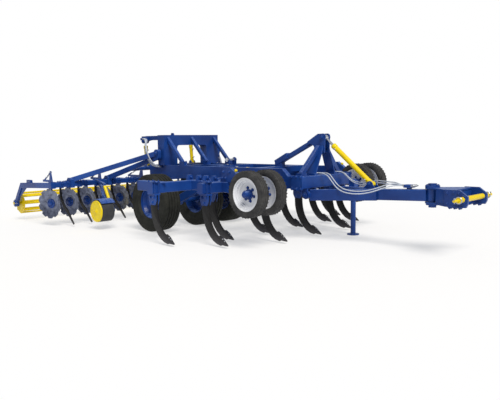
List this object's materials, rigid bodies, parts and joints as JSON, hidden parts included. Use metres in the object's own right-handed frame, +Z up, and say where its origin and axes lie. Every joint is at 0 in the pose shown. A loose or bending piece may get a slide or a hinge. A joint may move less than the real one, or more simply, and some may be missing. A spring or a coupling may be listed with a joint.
{
  "type": "disc chisel",
  "caption": "Trailed tillage machine with deep chisel tines, notched discs, cage roller, transport and gauge wheels, and a drawbar with a swivelling lower-link head.",
  "frame": {"origin": "on the ground below the middle of the machine's length and width", "axes": "+X towards the hitch, +Y to the machine's left, +Z up"},
  "size_m": [9.28, 5.16, 1.842],
  "materials": {
    "tyre_rubber": "matt ribbed rubber",
    "drum_rubber": "smooth dark rubber",
    "white_paint": "satin white paint",
    "black_steel": "satin black paint",
    "disc_steel": "bare hardened steel",
    "chrome_rod": "polished",
    "yellow_paint": "gloss yellow paint",
    "blue_paint": "gloss blue paint"
  },
  "bodies": {
    "frame": {"gantry": "blue_paint", "gauge_arms": "blue_paint", "main_frame": "blue_paint", "tine_clamps": "blue_paint", "tines": "black_steel", "tower": "blue_paint", "wing_frames": "blue_paint"},
    "axle": {"axle_carrier": "blue_paint"},
    "axle_barrel": {"axle_barrel": "yellow_paint"},
    "axle_rod": {"axle_rod": "chrome_rod"},
    "drawbar": {"drawbar": "blue_paint", "jack_sleeve": "blue_paint", "hose_holder": "blue_paint"},
    "jack": {"jack_leg": "blue_paint"},
    "hitch_head": {"hitch_head": "blue_paint", "cross_shaft": "yellow_paint"},
    "level_barrel": {"level_barrel": "yellow_paint"},
    "level_rod": {"level_rod": "chrome_rod"},
    "rear_section": {"rear_frame": "blue_paint", "disc_stems": "blue_paint", "rear_tines": "black_steel", "depth_arms": "blue_paint", "adjuster_masts": "blue_paint", "roller_arms": "blue_paint", "depth_struts": "yellow_paint"},
    "roller": {"roller": "yellow_paint"},
    "wheel_outer_left": {"tyre_outer_left": "tyre_rubber", "rim_outer_left": "blue_paint"},
    "wheel_inner_left": {"tyre_inner_left": "tyre_rubber", "rim_inner_left": "blue_paint"},
    "gauge_wheels_left": {"gauge_tyres_left": "tyre_rubber", "gauge_rims_left": "white_paint"},
    "depth_wheel_left": {"depth_drum_left": "drum_rubber", "depth_cap_left": "yellow_paint"},
    "lift_barrel_left": {"lift_barrel_left": "yellow_paint"},
    "lift_rod_left": {"lift_rod_left": "chrome_rod"},
    "wheel_outer_right": {"tyre_outer_right": "tyre_rubber", "rim_outer_right": "blue_paint"},
    "wheel_inner_right": {"tyre_inner_right": "tyre_rubber", "rim_inner_right": "blue_paint"},
    "gauge_wheels_right": {"gauge_tyres_right": "tyre_rubber", "gauge_rims_right": "white_paint"},
    "depth_wheel_right": {"depth_drum_right": "drum_rubber", "depth_cap_right": "yellow_paint"},
    "lift_barrel_right": {"lift_barrel_right": "yellow_paint"},
    "lift_rod_right": {"lift_rod_right": "chrome_rod"},
    "disc_01": {"disc_01": "disc_steel"},
    "disc_02": {"disc_02": "disc_steel"},
    "disc_03": {"disc_03": "disc_steel"},
    "disc_04": {"disc_04": "disc_steel"},
    "disc_05": {"disc_05": "disc_steel"},
    "disc_06": {"disc_06": "disc_steel"},
    "disc_07": {"disc_07": "disc_steel"},
    "disc_08": {"disc_08": "disc_steel"},
    "disc_09": {"disc_09": "disc_steel"},
    "disc_10": {"disc_10": "disc_steel"},
    "disc_11": {"disc_11": "disc_steel"},
    "disc_12": {"disc_12": "disc_steel"}
  },
  "joints": [
    {"name": "axle_lift", "type": "hinge", "parent": "frame", "child": "axle", "pos_m": [-0.059, 0, 0.86], "axis": [0, 1, 0], "range_deg": [0, 24]},
    {"name": "wheel_outer_left_spin", "type": "hinge", "parent": "axle", "child": "wheel_outer_left", "pos_m": [-0.809, 1.43, 0.535], "axis": [0, 1, 0], "continuous": true},
    {"name": "wheel_inner_left_spin", "type": "hinge", "parent": "axle", "child": "wheel_inner_left", "pos_m": [-0.809, 0.362, 0.535], "axis": [0, 1, 0], "continuous": true},
    {"name": "gauge_wheels_left_spin", "type": "hinge", "parent": "frame", "child": "gauge_wheels_left", "pos_m": [1.841, 1.45, 0.85], "axis": [0, 1, 0], "continuous": true},
    {"name": "depth_wheel_left_spin", "type": "hinge", "parent": "rear_section", "child": "depth_wheel_left", "pos_m": [-1.769, 1.98, 0.36], "axis": [0, 1, 0], "continuous": true},
    {"name": "lift_barrel_left_swing", "type": "hinge", "parent": "rear_section", "child": "lift_barrel_left", "pos_m": [-2.189, 0.621, 1.2], "axis": [0, 1, 0], "range_deg": [-2, 5.1]},
    {"name": "lift_rod_left_slide", "type": "slide", "parent": "lift_barrel_left", "child": "lift_rod_left", "axis": [-0.083, 0, 0.9965], "range_m": [-0.035, 0.091]},
    {"name": "wheel_outer_right_spin", "type": "hinge", "parent": "axle", "child": "wheel_outer_right", "pos_m": [-0.809, -1.43, 0.535], "axis": [0, 1, 0], "continuous": true},
    {"name": "wheel_inner_right_spin", "type": "hinge", "parent": "axle", "child": "wheel_inner_right", "pos_m": [-0.809, -0.362, 0.535], "axis": [0, 1, 0], "continuous": true},
    {"name": "gauge_wheels_right_spin", "type": "hinge", "parent": "frame", "child": "gauge_wheels_right", "pos_m": [1.841, -1.45, 0.85], "axis": [0, 1, 0], "continuous": true},
    {"name": "depth_wheel_right_spin", "type": "hinge", "parent": "rear_section", "child": "depth_wheel_right", "pos_m": [-1.769, -1.98, 0.36], "axis": [0, 1, 0], "continuous": true},
    {"name": "lift_barrel_right_swing", "type": "hinge", "parent": "rear_section", "child": "lift_barrel_right", "pos_m": [-2.189, -0.621, 1.2], "axis": [0, 1, 0], "range_deg": [-2, 5.1]},
    {"name": "lift_rod_right_slide", "type": "slide", "parent": "lift_barrel_right", "child": "lift_rod_right", "axis": [-0.083, 0, 0.9965], "range_m": [-0.035, 0.091]},
    {"name": "axle_barrel_swing", "type": "hinge", "parent": "frame", "child": "axle_barrel", "pos_m": [0.651, 0, 1.085], "axis": [0, 1, 0], "range_deg": [0, 0.8]},
    {"name": "axle_rod_slide", "type": "slide", "parent": "axle_barrel", "child": "axle_rod", "axis": [-0.9974, 0, 0.0722], "range_m": [-0.119, 0]},
    {"name": "drawbar_pitch", "type": "hinge", "parent": "frame", "child": "drawbar", "pos_m": [2.041, 0, 0.76], "axis": [0, 1, 0], "range_deg": [-8, 8]},
    {"name": "level_barrel_swing", "type": "hinge", "parent": "drawbar", "child": "level_barrel", "pos_m": [2.951, 0, 0.95], "axis": [0, 1, 0], "range_deg": [-4.2, 4.2]},
    {"name": "level_rod_slide", "type": "slide", "parent": "level_barrel", "child": "level_rod", "axis": [-0.7717, 0, 0.636], "range_m": [-0.102, 0.102]},
    {"name": "jack_slide", "type": "slide", "parent": "drawbar", "child": "jack", "axis": [0, 0, 1], "range_m": [0, 0.4]},
    {"name": "head_swivel", "type": "hinge", "parent": "drawbar", "child": "hitch_head", "pos_m": [3.971, 0, 0.831], "axis": [0, 0, 1], "range_deg": [-75, 75]},
    {"name": "rear_lift", "type": "hinge", "parent": "frame", "child": "rear_section", "pos_m": [-1.559, 0, 1.43], "axis": [0, 1, 0], "range_deg": [-8, 3]},
    {"name": "roller_spin", "type": "hinge", "parent": "rear_section", "child": "roller", "pos_m": [-4.409, 0, 0.38], "axis": [0, 1, 0], "continuous": true},
    {"name": "disc_01_spin", "type": "hinge", "parent": "rear_section", "child": "disc_01", "pos_m": [-3.009, -2.4, 0.455], "axis": [0.2924, -0.9563, 0], "continuous": true},
    {"name": "disc_02_spin", "type": "hinge", "parent": "rear_section", "child": "disc_02", "pos_m": [-3.009, -2, 0.455], "axis": [0.2924, -0.9563, 0], "continuous": true},
    {"name": "disc_03_spin", "type": "hinge", "parent": "rear_section", "child": "disc_03", "pos_m": [-3.009, -1.6, 0.455], "axis": [0.2924, -0.9563, 0], "continuous": true},
    {"name": "disc_04_spin", "type": "hinge", "parent": "rear_section", "child": "disc_04", "pos_m": [-3.009, -1.2, 0.455], "axis": [0.2924, -0.9563, 0], "continuous": true},
    {"name": "disc_05_spin", "type": "hinge", "parent": "rear_section", "child": "disc_05", "pos_m": [-3.009, -0.8, 0.455], "axis": [0.2924, -0.9563, 0], "continuous": true},
    {"name": "disc_06_spin", "type": "hinge", "parent": "rear_section", "child": "disc_06", "pos_m": [-3.009, -0.4, 0.455], "axis": [0.2924, -0.9563, 0], "continuous": true},
    {"name": "disc_07_spin", "type": "hinge", "parent": "rear_section", "child": "disc_07", "pos_m": [-3.009, 0.4, 0.455], "axis": [0.2924, 0.9563, 0], "continuous": true},
    {"name": "disc_08_spin", "type": "hinge", "parent": "rear_section", "child": "disc_08", "pos_m": [-3.009, 0.8, 0.455], "axis": [0.2924, 0.9563, 0], "continuous": true},
    {"name": "disc_09_spin", "type": "hinge", "parent": "rear_section", "child": "disc_09", "pos_m": [-3.009, 1.2, 0.455], "axis": [0.2924, 0.9563, 0], "continuous": true},
    {"name": "disc_10_spin", "type": "hinge", "parent": "rear_section", "child": "disc_10", "pos_m": [-3.009, 1.6, 0.455], "axis": [0.2924, 0.9563, 0], "continuous": true},
    {"name": "disc_11_spin", "type": "hinge", "parent": "rear_section", "child": "disc_11", "pos_m": [-3.009, 2, 0.455], "axis": [0.2924, 0.9563, 0], "continuous": true},
    {"name": "disc_12_spin", "type": "hinge", "parent": "rear_section", "child": "disc_12", "pos_m": [-3.009, 2.4, 0.455], "axis": [0.2924, 0.9563, 0], "continuous": true}
  ],
  "couplings": [
    {"joint": "axle_barrel_swing", "follows": "axle_lift", "ratio": 0.031},
    {"joint": "axle_rod_slide", "follows": "axle_lift", "m_per_rad": -0.2815},
    {"joint": "level_barrel_swing", "follows": "drawbar_pitch", "ratio": -0.507},
    {"joint": "level_rod_slide", "follows": "drawbar_pitch", "m_per_rad": 0.725},
    {"joint": "lift_barrel_left_swing", "follows": "rear_lift", "ratio": -0.62},
    {"joint": "lift_rod_left_slide", "follows": "rear_lift", "m_per_rad": -0.6415},
    {"joint": "lift_barrel_right_swing", "follows": "rear_lift", "ratio": -0.62},
    {"joint": "lift_rod_right_slide", "follows": "rear_lift", "m_per_rad": -0.6415}
  ]
}
